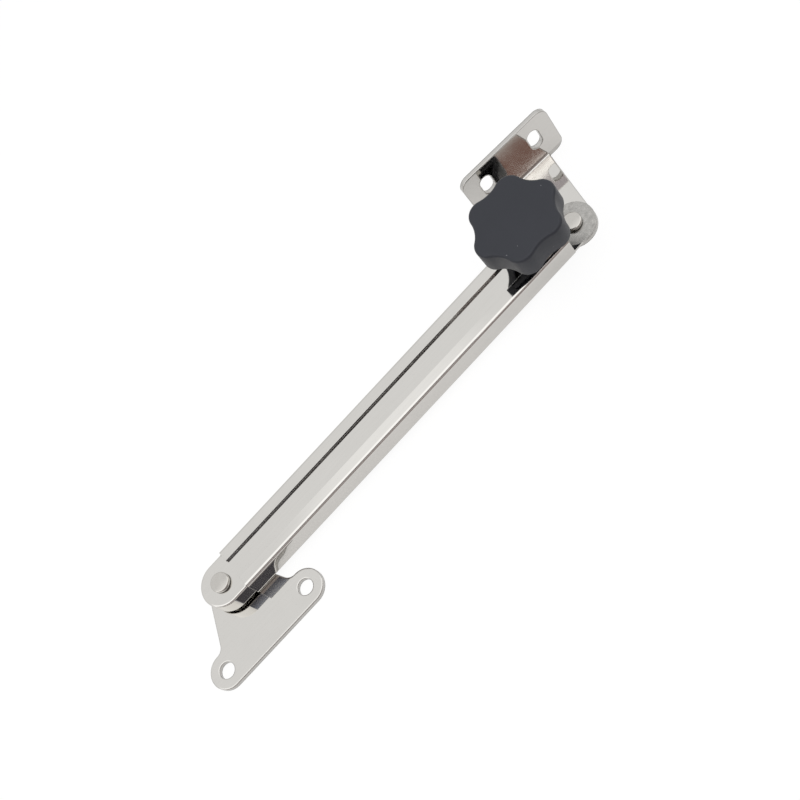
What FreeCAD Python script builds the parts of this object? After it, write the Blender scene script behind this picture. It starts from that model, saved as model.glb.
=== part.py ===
"""Telescopic lid stay: an inner arm slides in a folded rail and a star knob clamps the two.

Millimetres. The origin is the middle of the mounting plate's two holes, on its back face.
+X runs along the closed stay to its upper end, +Z points away from the face it is fixed to.
"""
import FreeCAD, Part
import math
import os

V = FreeCAD.Vector
UP = V(0, 0, 1)

# Main lengths
PIVOT_SPAN = 192.0            # lower pivot to upper pivot with the stay closed
SLIDE_TRAVEL = 140.0          # how far the rail can be drawn out
RUN_GAP = 0.05                # running gap of a turning or sliding fit

# Mounting plate
PLATE_THICK = 2.0
PLATE_HOLE_SPACING = 43.5
PLATE_HOLE_RADIUS = 3.3
PLATE_PIVOT_RISE = 22.9       # hole line to pivot
PLATE_APEX_RADIUS = 11.0
PLATE_EAR_RADIUS = 7.4
PLATE_SIDE_ANGLE = 24.5       # slant of the two long sides
PLATE_NECK_FILLET = 4.0
PLATE_EDGE_BREAK = 0.25       # chamfer round the plate's upper rim

# Angle bracket
BRACKET_THICK = 2.0
BRACKET_LUG_RADIUS = 9.2
BRACKET_REACH = 32.5          # pivot to the flange's inner face
BRACKET_TURN = -4.0           # how far the bracket is turned on its pivot, in degrees
BRACKET_ROOT_HALF = 14.5      # half the ear's width at the fold
BRACKET_NECK_HALF = 8.9       # half the ear's width at the pivot, inside the lug
BRACKET_NECK_FILLET = 8.0
BRACKET_BEND_INNER = 0.8
BRACKET_BEND_OUTER = 1.9      # a little under the thickness, so that the fold ends in the flange
FLANGE_WIDTH = 43.8
FLANGE_HEIGHT = 25.9
FLANGE_CORNER = 4.5
SLOT_SPACING = 25.0
SLOT_WIDTH = 5.4
SLOT_LENGTH = 10.4
SLOT_HEIGHT = 14.8            # slot centre above the back face

# Outer rail
RAIL_WIDTH = 20.4
RAIL_DEPTH = 10.0
RAIL_THICK = 1.0
RAIL_LIP = 5.5
RAIL_BEND = 1.6
RAIL_LUG_RADIUS = 9.2
RAIL_START = 7.0              # lower pivot to the rail's square lower end
RAIL_END_BACK = 8.0           # upper pivot back to the end of the walls
DIMPLE_RADIUS = 3.4
DIMPLE_HEIGHT = 1.8

# Inner arm
ARM_THICK = 1.2
ARM_SIDE_GAP = 0.2            # arm to rail wall
ARM_TOP_GAP = 0.2             # arm to the underside of the lips
ARM_BOTTOM_GAP = 0.5          # arm to the rail's web
ARM_LUG_RADIUS = 9.4
ARM_SKIRT_DEPTH = 7.2
ARM_BEND = 0.8
ARM_END_BACK = 9.0            # upper pivot back to the arm's inner end
ARM_SHOULDER_GAP = 0.2        # arm's shoulder to the rail's lower end
TAB_WIDTH = 8.0
TAB_LIFT = 0.5                # stop tab to the rail's web, above the arm's own gap

# Rivets, spacer and washers
RIVET_RADIUS = 3.0
RIVET_HEAD_RADIUS = 4.0
RIVET_HEAD_HEIGHT = 1.8
RIVET_HEAD_CHAMFER = 0.3
RIVET_TAIL_RADIUS = 3.8
RIVET_TAIL_DEPTH = 1.0
SPACER_RADIUS = 5.0
PIVOT_WASHER_RADIUS = 8.0
PIVOT_WASHER_THICK = 0.3
CLAMP_WASHER_RADIUS = 8.5
CLAMP_WASHER_THICK = 1.2
WASHER_CHAMFER = 0.2

# Clamp bolt
BOLT_RADIUS = 3.0
BOLT_BACK = 17.0              # upper pivot back to the knob's axis
BOLT_HEAD_RADIUS = 6.5
BOLT_HEAD_HEIGHT = 2.4
BOLT_NECK_SIDE = 6.0
BOLT_IN_INSERT = 11.0         # length of thread engaged in the knob
BOLT_END_CHAMFER = 0.6

# Star knob
KNOB_RADIUS = 18.9
KNOB_VALLEY_RADIUS = 16.0
KNOB_LOBES = 6
KNOB_TURN = -3.1              # how far the knob is turned from a lobe on +X, in degrees
KNOB_LOBE_ROUND = 6.0
KNOB_THICK = 11.0
KNOB_STANDOFF = 10.3          # length of the hub under the lobed head
KNOB_TOP_BREAK = 1.1          # upper rim: one broad chamfer with a fine one on each of its edges
KNOB_TOP_FINE_BREAK = 0.3
KNOB_UNDER_CHAMFER = 0.4
KNOB_WALL = 2.6
KNOB_CORE_DEPTH = 6.5
KNOB_RIB_THICK = 2.0
HUB_RADIUS = 8.0
HUB_CHAMFER = 0.5
INSERT_RADIUS = 4.5
INSERT_LENGTH = 12.0

# Levels, worked up from the back face
EAR_TOP = BRACKET_THICK
RAIL_BACK = EAR_TOP + PIVOT_WASHER_THICK
RAIL_WEB_TOP = RAIL_BACK + RAIL_THICK
RAIL_TOP = RAIL_BACK + RAIL_DEPTH
ARM_TOP = RAIL_TOP - RAIL_THICK - ARM_TOP_GAP
ARM_WEB_UNDER = ARM_TOP - ARM_THICK
ARM_FLANGE_FOOT = RAIL_WEB_TOP + ARM_BOTTOM_GAP
HUB_FOOT = RAIL_TOP + CLAMP_WASHER_THICK
KNOB_FOOT = HUB_FOOT + KNOB_STANDOFF
KNOB_TOP = KNOB_FOOT + KNOB_THICK

# Places along and across the stay
PIVOT_Y = PLATE_PIVOT_RISE
LOWER_PIVOT = V(0, PIVOT_Y, 0)
UPPER_PIVOT = V(PIVOT_SPAN, PIVOT_Y, 0)
BOLT_X = PIVOT_SPAN - BOLT_BACK
ARM_END = PIVOT_SPAN - ARM_END_BACK
RAIL_END = PIVOT_SPAN - RAIL_END_BACK
ARM_HALF = RAIL_WIDTH / 2 - RAIL_THICK - ARM_SIDE_GAP
DIMPLE_X = ARM_END - ARM_THICK - SLIDE_TRAVEL - DIMPLE_RADIUS - ARM_SIDE_GAP

# How close two measures of the model count as the same
SAME = 1e-6
NEAR = 1e-3


def rod(radius, low, high, centre=V(0, 0, 0)):
    """Upright cylinder between two levels."""
    return Part.makeCylinder(radius, high - low, V(centre.x, centre.y, low), UP)


def block(x_range, y_range, z_range):
    """Box between two corners, with y counted from the line of the pivots."""
    size = [high - low for low, high in (x_range, y_range, z_range)]
    return Part.makeBox(*size, V(x_range[0], PIVOT_Y + y_range[0], z_range[0]))


def prism(points, low, high):
    """Upright prism on a closed outline of (x, y) corners."""
    outline = Part.makePolygon([V(x, y, low) for x, y in points + points[:1]])
    return Part.Face(outline).extrude(UP * (high - low))


def edges_where(shape, test):
    """Edges whose every vertex passes the test."""
    return [edge for edge in shape.Edges if all(test(vertex.Point) for vertex in edge.Vertexes)]


def level_edges(shape, level):
    """Edges that lie in one level."""
    return edges_where(shape, lambda point: abs(point.z - level) < SAME)


def upright_edges_at(shape, spots):
    """Upright edges that pass over the given (x, y) spots."""
    found = []
    for edge in shape.Edges:
        low, high = edge.BoundBox.ZMin, edge.BoundBox.ZMax
        middle = edge.CenterOfMass
        near = min(math.hypot(middle.x - x, middle.y - y) for x, y in spots)
        if high - low > NEAR and edge.BoundBox.XLength < SAME and near < NEAR:
            found.append(edge)
    return found


def chamfered_rim(shape, level, size):
    """Shape with every edge at one level chamfered."""
    return shape.makeChamfer(size, level_edges(shape, level))


def entry_point(line, centre, radius):
    """Point (x, y) at which a line from its first to its second point enters a circle."""
    (x0, y0), (x1, y1) = line
    run_x, run_y = x1 - x0, y1 - y0
    a = run_x ** 2 + run_y ** 2
    b = 2 * (run_x * (x0 - centre[0]) + run_y * (y0 - centre[1]))
    c = (x0 - centre[0]) ** 2 + (y0 - centre[1]) ** 2 - radius ** 2
    share = (-b - math.sqrt(b * b - 4 * a * c)) / (2 * a)
    return x0 + share * run_x, y0 + share * run_y


def mounting_plate():
    """Flat triangular plate: a round apex at the pivot and two ears with screw holes."""
    slant = math.radians(PLATE_SIDE_ANGLE)
    hole_x = PLATE_HOLE_SPACING / 2
    tangent = (PLATE_APEX_RADIUS * math.cos(slant), PIVOT_Y + PLATE_APEX_RADIUS * math.sin(slant))
    run = tangent[1] / math.cos(slant)
    side_foot = (tangent[0] + run * math.sin(slant), 0.0)
    base = -PLATE_EAR_RADIUS
    right = [tangent, side_foot, (hole_x, 0.0), (hole_x, base)]
    left = [(-x, y) for x, y in reversed(right)]
    plate = prism(right + left, 0, PLATE_THICK)
    plate = plate.fuse([rod(PLATE_APEX_RADIUS, 0, PLATE_THICK, LOWER_PIVOT)]
                       + [rod(PLATE_EAR_RADIUS, 0, PLATE_THICK, V(x, 0, 0)) for x in (hole_x, -hole_x)])
    plate = plate.removeSplitter()
    neck = entry_point((tangent, side_foot), (hole_x, 0.0), PLATE_EAR_RADIUS)
    corners = upright_edges_at(plate, [neck, (-neck[0], neck[1])])
    plate = plate.makeFillet(PLATE_NECK_FILLET, corners)
    plate = chamfered_rim(plate, PLATE_THICK, PLATE_EDGE_BREAK)
    for x in (hole_x, -hole_x):
        plate = plate.cut(rod(PLATE_HOLE_RADIUS, 0, PLATE_THICK, V(x, 0, 0)))
    return plate.cut(rivet_shank(LOWER_PIVOT, PLATE_THICK))


def rivet_shank(centre, top):
    """Rivet shank from its spread, flush tail up to a level."""
    tail = Part.makeCone(RIVET_TAIL_RADIUS, RIVET_RADIUS, RIVET_TAIL_DEPTH, centre, UP)
    return rod(RIVET_RADIUS, 0, top, centre).fuse(tail).removeSplitter()


def rivet(centre, seat):
    """Pivot rivet with a tall flat head on a seat and a flush tail at the back."""
    head = rod(RIVET_HEAD_RADIUS, seat, seat + RIVET_HEAD_HEIGHT, centre)
    head = chamfered_rim(head, seat + RIVET_HEAD_HEIGHT, RIVET_HEAD_CHAMFER)
    return head.fuse(rivet_shank(centre, seat)).removeSplitter()


def ring(centre, outer, inner, low, high):
    """Washer or sleeve."""
    return rod(outer, low, high, centre).cut(rod(inner, low, high, centre))


def clamp_washer():
    """Washer under the knob, with its upper rim chamfered."""
    centre = V(BOLT_X, PIVOT_Y, 0)
    washer = rod(CLAMP_WASHER_RADIUS, RAIL_TOP, HUB_FOOT, centre)
    washer = chamfered_rim(washer, HUB_FOOT, WASHER_CHAMFER)
    return washer.cut(rod(BOLT_RADIUS + RUN_GAP, RAIL_TOP, HUB_FOOT, centre))


def arm_plan(side_half, lug_radius, foot, skirt_foot, top, end):
    """Solid under the arm's outline: a round lug, then a straight body from the shoulder on."""
    shoulder = RAIL_START - ARM_SHOULDER_GAP
    inset = ARM_LUG_RADIUS - lug_radius
    lug = rod(lug_radius, skirt_foot, top, LOWER_PIVOT)
    head = block((0, shoulder - inset), (-lug_radius, lug_radius), (skirt_foot, top))
    neck = block((0, shoulder), (-side_half, side_half), (skirt_foot, top))
    body = block((shoulder, end), (-side_half, side_half), (foot, top))
    return lug.fuse([head, neck, body]).removeSplitter()


def inner_arm():
    """Pressed channel with a skirted round lug, a square bolt hole and a folded stop tab."""
    skirt_foot = ARM_TOP - ARM_SKIRT_DEPTH
    outer = arm_plan(ARM_HALF, ARM_LUG_RADIUS, ARM_FLANGE_FOOT, skirt_foot, ARM_TOP, ARM_END)
    rim = [edge for edge in level_edges(outer, ARM_TOP) if edge.BoundBox.XMin < ARM_END - NEAR]
    outer = outer.makeFillet(ARM_BEND, rim)
    hollow = arm_plan(ARM_HALF - ARM_THICK, ARM_LUG_RADIUS - ARM_THICK, ARM_FLANGE_FOOT,
                      skirt_foot, ARM_WEB_UNDER, ARM_END)
    arm = outer.cut(hollow)
    tab_foot = ARM_FLANGE_FOOT + TAB_LIFT
    arm = arm.fuse(block((ARM_END - ARM_THICK, ARM_END), (-TAB_WIDTH / 2, TAB_WIDTH / 2),
                         (tab_foot, ARM_WEB_UNDER + ARM_THICK / 2)))
    arm = arm.cut(rod(RIVET_RADIUS + RUN_GAP, ARM_WEB_UNDER, ARM_TOP, LOWER_PIVOT))
    half = BOLT_NECK_SIDE / 2 + RUN_GAP
    arm = arm.cut(block((BOLT_X - half, BOLT_X + half), (-half, half), (ARM_WEB_UNDER, ARM_TOP)))
    return arm.removeSplitter()


def rail_bar(half, low, high, bend):
    """Straight bar the length of the rail's walls, its long edges rounded."""
    bar = block((RAIL_START, RAIL_END), (-half, half), (low, high))
    long_edges = [edge for edge in bar.Edges if edge.BoundBox.XLength > NEAR]
    return bar.makeFillet(bend, long_edges)


def stop_dimple(radius, height, foot):
    """Cone frustum that is pressed up from the rail's web as a stop."""
    return Part.makeCone(radius, radius - height, height, V(DIMPLE_X, PIVOT_Y, foot), UP)


def outer_rail():
    """Folded rail: web at the back, two walls, two lips, and a lug beyond the walls' end."""
    half = RAIL_WIDTH / 2
    shell = rail_bar(half, RAIL_BACK, RAIL_TOP, RAIL_BEND)
    hollow = rail_bar(half - RAIL_THICK, RAIL_WEB_TOP, RAIL_TOP - RAIL_THICK, RAIL_BEND - RAIL_THICK)
    mouth = half - RAIL_LIP
    rail = shell.cut(hollow)
    rail = rail.cut(block((RAIL_START, RAIL_END), (-mouth, mouth), (RAIL_TOP - RAIL_THICK, RAIL_TOP)))
    tongue = block((RAIL_END, PIVOT_SPAN), (-RAIL_LUG_RADIUS, RAIL_LUG_RADIUS),
                   (RAIL_BACK, RAIL_WEB_TOP))
    root = block((RAIL_END - RAIL_BEND, RAIL_END), (-RAIL_LUG_RADIUS, RAIL_LUG_RADIUS),
                 (RAIL_BACK + RAIL_BEND / 2, RAIL_WEB_TOP))
    rail = rail.fuse([tongue, root, rod(RAIL_LUG_RADIUS, RAIL_BACK, RAIL_WEB_TOP, UPPER_PIVOT)])
    rail = rail.fuse(stop_dimple(DIMPLE_RADIUS, DIMPLE_HEIGHT, RAIL_WEB_TOP))
    rail = rail.cut(stop_dimple(DIMPLE_RADIUS - RAIL_THICK / 2, DIMPLE_HEIGHT, RAIL_BACK))
    rail = rail.cut(rod(RIVET_RADIUS + RUN_GAP, RAIL_BACK, RAIL_WEB_TOP, UPPER_PIVOT))
    return rail.removeSplitter()


def flange_slot(x):
    """Upright slot cutter with round ends, through the flange."""
    back, depth = PIVOT_Y + BRACKET_REACH, V(0, BRACKET_THICK, 0)
    radius = SLOT_WIDTH / 2
    rise = SLOT_LENGTH / 2 - radius
    middle = block((x - radius, x + radius), (BRACKET_REACH, BRACKET_REACH + BRACKET_THICK),
                   (SLOT_HEIGHT - rise, SLOT_HEIGHT + rise))
    ends = [Part.makeCylinder(radius, BRACKET_THICK, V(x, back, level), depth)
            for level in (SLOT_HEIGHT - rise, SLOT_HEIGHT + rise)]
    return middle.fuse(ends).removeSplitter()


def bracket_flange():
    """Upright flange with rounded corners."""
    half = FLANGE_WIDTH / 2
    flange = block((PIVOT_SPAN - half, PIVOT_SPAN + half),
                   (BRACKET_REACH, BRACKET_REACH + BRACKET_THICK), (0, FLANGE_HEIGHT))
    corners = [edge for edge in flange.Edges
               if edge.BoundBox.XLength < SAME and edge.BoundBox.ZLength < SAME]
    return flange.makeFillet(FLANGE_CORNER, corners)


def bracket_ear():
    """Flat ear from the round lug at the pivot to the fold, its outer fold rounded."""
    fold = BRACKET_REACH + BRACKET_THICK
    far, near = BRACKET_ROOT_HALF, BRACKET_NECK_HALF
    side = ((PIVOT_SPAN + near, PIVOT_Y), (PIVOT_SPAN + far, PIVOT_Y + fold))
    corners = [side[0], side[1], (PIVOT_SPAN - far, PIVOT_Y + fold), (PIVOT_SPAN - near, PIVOT_Y)]
    ear = prism(corners, 0, BRACKET_THICK)
    fold_edge = edges_where(ear, lambda point: point.y > PIVOT_Y + fold - SAME and point.z < SAME)
    ear = ear.makeFillet(BRACKET_BEND_OUTER, fold_edge)
    ear = ear.fuse(rod(BRACKET_LUG_RADIUS, 0, BRACKET_THICK, UPPER_PIVOT)).removeSplitter()
    meet = entry_point(side[::-1], (PIVOT_SPAN, PIVOT_Y), BRACKET_LUG_RADIUS)
    mirrored = (2 * PIVOT_SPAN - meet[0], meet[1])
    return ear.makeFillet(BRACKET_NECK_FILLET, upright_edges_at(ear, [meet, mirrored]))


def angle_bracket():
    """Folded bracket, turned a little on its pivot: a round lug, an ear and a slotted flange."""
    bracket = bracket_ear().fuse(bracket_flange()).removeSplitter()
    inside = edges_where(bracket, lambda point: abs(point.y - PIVOT_Y - BRACKET_REACH) < SAME
                         and abs(point.z - BRACKET_THICK) < SAME)
    bracket = bracket.makeFillet(BRACKET_BEND_INNER, inside)
    for x in (PIVOT_SPAN - SLOT_SPACING / 2, PIVOT_SPAN + SLOT_SPACING / 2):
        bracket = bracket.cut(flange_slot(x))
    bracket = bracket.cut(rivet_shank(UPPER_PIVOT, BRACKET_THICK))
    bracket.rotate(UPPER_PIVOT, UP, BRACKET_TURN)
    return bracket


def clamp_bolt():
    """Carriage bolt: a low round head under the arm's web, a square neck and a plain shank."""
    centre = V(BOLT_X, PIVOT_Y, 0)
    top = HUB_FOOT + BOLT_IN_INSERT
    head = rod(BOLT_HEAD_RADIUS, ARM_WEB_UNDER - BOLT_HEAD_HEIGHT, ARM_WEB_UNDER, centre)
    half = BOLT_NECK_SIDE / 2
    neck = block((BOLT_X - half, BOLT_X + half), (-half, half), (ARM_WEB_UNDER, ARM_TOP))
    shank = rod(BOLT_RADIUS, ARM_WEB_UNDER, top, centre)
    shank = shank.makeChamfer(BOLT_END_CHAMFER, level_edges(shank, top))
    return head.fuse([neck, shank]).removeSplitter()


def knob_spot(reach, angle, level):
    """Point at a reach and an angle from the knob's axis."""
    return V(BOLT_X + reach * math.cos(angle), PIVOT_Y + reach * math.sin(angle), level)


def lobed_outline(inset, level):
    """Closed outline of lobes and hollows that touch smoothly, drawn in by an inset."""
    lobe_reach = KNOB_RADIUS - KNOB_LOBE_ROUND
    step = 2 * math.pi / KNOB_LOBES
    cosine = math.cos(step / 2)
    over = KNOB_VALLEY_RADIUS
    known = lobe_reach ** 2 + over ** 2 - 2 * lobe_reach * over * cosine - KNOB_LOBE_ROUND ** 2
    hollow = known / (2 * KNOB_LOBE_ROUND - 2 * over + 2 * lobe_reach * cosine)
    lobe_round = KNOB_LOBE_ROUND - inset
    arcs = []
    for turn in range(KNOB_LOBES):
        angle = turn * step + math.radians(KNOB_TURN)
        lobe = knob_spot(lobe_reach, angle, level)
        sides = [knob_spot(over + hollow, angle + half, level) for half in (-step / 2, step / 2)]
        joins = [lobe + (side - lobe).normalize() * lobe_round for side in sides]
        tip = knob_spot(KNOB_RADIUS - inset, angle, level)
        arcs.append(Part.Arc(joins[0], tip, joins[1]).toShape())
        next_lobe = knob_spot(lobe_reach, angle + step, level)
        next_join = next_lobe + (sides[1] - next_lobe).normalize() * lobe_round
        dip = knob_spot(over - inset, angle + step / 2, level)
        arcs.append(Part.Arc(joins[1], dip, next_join).toShape())
    return Part.Face(Part.Wire(arcs))


def knob_core(high):
    """Hollow under the lobed head, round the hub, with one rib to each lobe."""
    centre = V(BOLT_X, PIVOT_Y, 0)
    core = lobed_outline(KNOB_WALL, KNOB_FOOT).extrude(UP * (high - KNOB_FOOT))
    core = core.cut(rod(HUB_RADIUS, KNOB_FOOT, high, centre))
    for turn in range(KNOB_LOBES):
        rib = block((BOLT_X, BOLT_X + KNOB_RADIUS), (-KNOB_RIB_THICK / 2, KNOB_RIB_THICK / 2),
                    (KNOB_FOOT, high))
        rib.rotate(centre, UP, KNOB_TURN + turn * 360 / KNOB_LOBES)
        core = core.cut(rib)
    return core


def star_knob():
    """Moulded knob: a lobed head cored out from below, on a round hub that holds the insert."""
    centre = V(BOLT_X, PIVOT_Y, 0)
    head = lobed_outline(0.0, KNOB_FOOT).extrude(UP * KNOB_THICK)
    head = chamfered_rim(head, KNOB_TOP, KNOB_TOP_BREAK)
    for level in (KNOB_TOP, KNOB_TOP - KNOB_TOP_BREAK):
        head = chamfered_rim(head, level, KNOB_TOP_FINE_BREAK)
    head = chamfered_rim(head, KNOB_FOOT, KNOB_UNDER_CHAMFER)
    head = head.cut(knob_core(KNOB_FOOT + KNOB_CORE_DEPTH))
    hub = rod(HUB_RADIUS, HUB_FOOT, KNOB_FOOT + KNOB_CORE_DEPTH, centre)
    hub = chamfered_rim(hub, HUB_FOOT, HUB_CHAMFER)
    knob = head.fuse(hub).removeSplitter()
    return knob.cut(rod(INSERT_RADIUS, HUB_FOOT, HUB_FOOT + INSERT_LENGTH, centre))


def knob_insert():
    """Threaded insert, its thread plain, that runs on the clamp bolt."""
    centre = V(BOLT_X, PIVOT_Y, 0)
    return ring(centre, INSERT_RADIUS, BOLT_RADIUS + RUN_GAP, HUB_FOOT, HUB_FOOT + INSERT_LENGTH)


def build():
    """All the stay's pieces, by name."""
    return {
        "mounting_plate": mounting_plate(),
        "lower_rivet": rivet(LOWER_PIVOT, ARM_TOP),
        "lower_spacer": ring(LOWER_PIVOT, SPACER_RADIUS, RIVET_RADIUS, PLATE_THICK, ARM_WEB_UNDER),
        "inner_arm": inner_arm(),
        "outer_rail": outer_rail(),
        "angle_bracket": angle_bracket(),
        "upper_rivet": rivet(UPPER_PIVOT, RAIL_WEB_TOP),
        "upper_washer": ring(UPPER_PIVOT, PIVOT_WASHER_RADIUS, RIVET_RADIUS, EAR_TOP, RAIL_BACK),
        "clamp_bolt": clamp_bolt(),
        "clamp_washer": clamp_washer(),
        "star_knob": star_knob(),
        "knob_insert": knob_insert(),
    }


os.makedirs("parts", exist_ok=True)
for name, shape in build().items():
    if not shape.isValid() or len(shape.Solids) != 1:
        raise ValueError(f"{name} isn't one valid solid")
    shape.Solids[0].exportStep(f"parts/{name}.step")
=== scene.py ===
"""Looks, light and camera of a telescopic lid stay.

Bright stainless sheet is folded into a rail and an arm that slides in it, with a plate and an
angle bracket at the ends, two turned rivets and a moulded star knob that clamps the slide.
Lengths are millimetres in the rail's own frame, and become metres where a mesh is made.
"""

import logging
import math
from dataclasses import dataclass
from enum import Enum
from typing import Optional, Protocol

import bmesh
import bpy
from mathutils import Matrix, Vector


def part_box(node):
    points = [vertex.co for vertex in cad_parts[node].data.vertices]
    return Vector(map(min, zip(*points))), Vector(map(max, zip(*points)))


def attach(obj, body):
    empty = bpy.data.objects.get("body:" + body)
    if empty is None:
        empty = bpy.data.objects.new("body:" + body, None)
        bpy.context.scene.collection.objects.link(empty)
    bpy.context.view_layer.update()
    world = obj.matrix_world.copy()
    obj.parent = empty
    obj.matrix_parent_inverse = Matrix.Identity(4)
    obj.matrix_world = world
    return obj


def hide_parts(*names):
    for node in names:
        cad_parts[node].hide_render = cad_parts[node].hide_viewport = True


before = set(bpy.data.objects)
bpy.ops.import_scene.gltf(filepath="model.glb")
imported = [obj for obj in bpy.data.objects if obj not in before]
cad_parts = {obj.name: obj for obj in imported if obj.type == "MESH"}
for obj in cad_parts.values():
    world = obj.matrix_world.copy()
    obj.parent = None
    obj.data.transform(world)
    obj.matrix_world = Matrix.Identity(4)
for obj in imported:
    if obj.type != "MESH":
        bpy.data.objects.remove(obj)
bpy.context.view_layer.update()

MM = 0.001
PHOTO_PIXELS = 800
log = logging.getLogger("lid_stay")
Tree = bpy.types.NodeTree
Socket = bpy.types.NodeSocket
Material = bpy.types.Material
Object = bpy.types.Object
Mesh = bmesh.types.BMesh
Edge = bmesh.types.BMEdge
Vert = bmesh.types.BMVert


class Metal(Enum):
    """Reflection colours of the metals, as sRGB hex values."""

    STAINLESS = "#D5D3CF"
    RIVET_STAINLESS = "#CBC8C3"
    BRASS = "#D0A868"


def linear(colour: str, share: float = 1.0) -> tuple[float, float, float, float]:
    """Turns an sRGB hex colour into linear light.

    Args:
        colour: Hex value such as "#C8C7C2".
        share: Factor on the linear values.

    Returns:
        Red, green, blue and an alpha of 1.
    """
    parts = [int(colour[i:i + 2], 16) / 255 for i in (1, 3, 5)]
    light = [p / 12.92 if p <= 0.04045 else ((p + 0.055) / 1.055) ** 2.4 for p in parts]
    return (*(share * value for value in light), 1.0)


def add(tree: Tree, kind: str, inputs: Optional[dict] = None,
        **settings: object) -> bpy.types.Node:
    """Adds a node with its settings, socket values and links.

    Args:
        tree: Node tree that takes the node.
        kind: Blender's name of the node type, without the leading ShaderNode.
        inputs: For each socket, by name or number, a plain value or the output that feeds it.
        settings: Attributes set on the node itself.

    Returns:
        The new node.
    """
    node = tree.nodes.new("ShaderNode" + kind)
    for key, value in settings.items():
        setattr(node, key, value)
    for socket, value in (inputs or {}).items():
        if isinstance(value, Socket):
            tree.links.new(value, node.inputs[socket])
        else:
            node.inputs[socket].default_value = value
    return node


def new_material(name: str) -> tuple[Material, Tree]:
    """Makes an empty node material.

    Args:
        name: Name of the finish.

    Returns:
        The material and its node tree, with nothing in it.
    """
    material = bpy.data.materials.new(name)
    material.use_nodes = True
    material.node_tree.nodes.clear()
    return material, material.node_tree


# Most values of a noise texture lie between these
NOISE_LOW, NOISE_HIGH = 0.3, 0.7
# Length of one wave of the wave texture at a scale of 1
WAVE_PERIOD = math.pi / 10


@dataclass
class Skin:
    """Surface of a finish, with what has been laid on it so far."""

    tree: Tree
    place: Socket
    colour: Socket
    roughness: Socket
    normal: Socket


class Layer(Protocol):
    """Something that is laid over polished sheet."""

    def lay(self, skin: Skin) -> None:
        """Lays it over the surface so far."""


@dataclass(frozen=True)
class RubbedZone:
    """Round area that the riveting tool has rubbed dull, about an upright axis."""

    axis: Vector
    radius: float
    fade: float = 0.8
    blotch_size: float = 1.6
    least_rubbed: float = 0.72
    roughness: float = 0.30
    darkest: float = 0.50
    lightest: float = 0.78

    def lay(self, skin: Skin) -> None:
        """Dulls and darkens the sheet about the rivet, in blotches.

        Args:
            skin: Surface so far, which takes the change.
        """
        tree = skin.tree
        flat = add(tree, "Mapping", {
            "Vector": skin.place, "Scale": (1.0, 1.0, 0.0),
            "Location": (-self.axis.x, -self.axis.y, 0.0)})
        reach = add(tree, "VectorMath", {0: flat.outputs[0]}, operation="LENGTH")
        inside = add(tree, "MapRange", {
            "Value": reach.outputs["Value"], "From Min": self.radius * MM,
            "From Max": (self.radius + self.fade) * MM, "To Min": 1.0, "To Max": 0.0})
        blotch = add(tree, "TexNoise", {
            "Vector": skin.place, "Scale": 1 / (self.blotch_size * MM), "Detail": 5.0,
            "Roughness": 0.7})
        patchy = add(tree, "MapRange", {
            "Value": blotch.outputs["Fac"], "From Min": NOISE_LOW, "From Max": NOISE_HIGH,
            "To Min": self.least_rubbed, "To Max": 1.0})
        share = add(tree, "Math", {0: inside.outputs["Result"], 1: patchy.outputs["Result"]},
                    operation="MULTIPLY")
        skin.roughness = add(tree, "Mix", {
            "Factor": share.outputs[0], "A": skin.roughness, "B": self.roughness},
            data_type="FLOAT").outputs["Result"]
        darker = add(tree, "MapRange", {
            "Value": patchy.outputs["Result"], "From Min": self.least_rubbed, "From Max": 1.0,
            "To Min": self.darkest, "To Max": self.lightest})
        worn = add(tree, "VectorMath", {
            0: skin.colour, "Scale": darker.outputs["Result"]}, operation="SCALE")
        skin.colour = add(tree, "Mix", {
            "Factor": inside.outputs["Result"], "A": skin.colour, "B": worn.outputs[0]},
            data_type="RGBA").outputs["Result"]


@dataclass(frozen=True)
class SprungLip:
    """Lip that sprang back a little after folding, most of all at the middle of its length."""

    inner_y: float
    lowest_z: float
    start_x: float = -10.0
    full_x: float = 75.0
    fall_x: float = 105.0
    end_x: float = 180.0
    slope: float = 0.06

    def lay(self, skin: Skin) -> None:
        """Leans the lip outwards.

        Args:
            skin: Surface so far, which takes the change.
        """
        tree = skin.tree
        parts = add(tree, "SeparateXYZ", {0: skin.place})
        rise = add(tree, "MapRange", {
            "Value": parts.outputs["X"], "From Min": self.start_x * MM,
            "From Max": self.full_x * MM}, interpolation_type="SMOOTHSTEP")
        fall = add(tree, "MapRange", {
            "Value": parts.outputs["X"], "From Min": self.fall_x * MM,
            "From Max": self.end_x * MM, "To Min": 1.0, "To Max": 0.0},
            interpolation_type="SMOOTHSTEP")
        outside = add(tree, "Math", {0: parts.outputs["Y"], 1: self.inner_y * MM},
                      operation="LESS_THAN")
        above = add(tree, "Math", {0: parts.outputs["Z"], 1: self.lowest_z * MM},
                    operation="GREATER_THAN")
        height = add(tree, "Math", {0: parts.outputs["Y"], 1: self.inner_y * MM},
                     operation="SUBTRACT")
        for share in (rise, fall, outside, above):
            height = add(tree, "Math", {0: height.outputs[0], 1: share.outputs[0]},
                         operation="MULTIPLY")
        # The height is in metres here, so the distance is the lip's slope
        skin.normal = add(tree, "Bump", {
            "Height": height.outputs[0], "Distance": self.slope,
            "Normal": skin.normal}).outputs[0]


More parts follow.
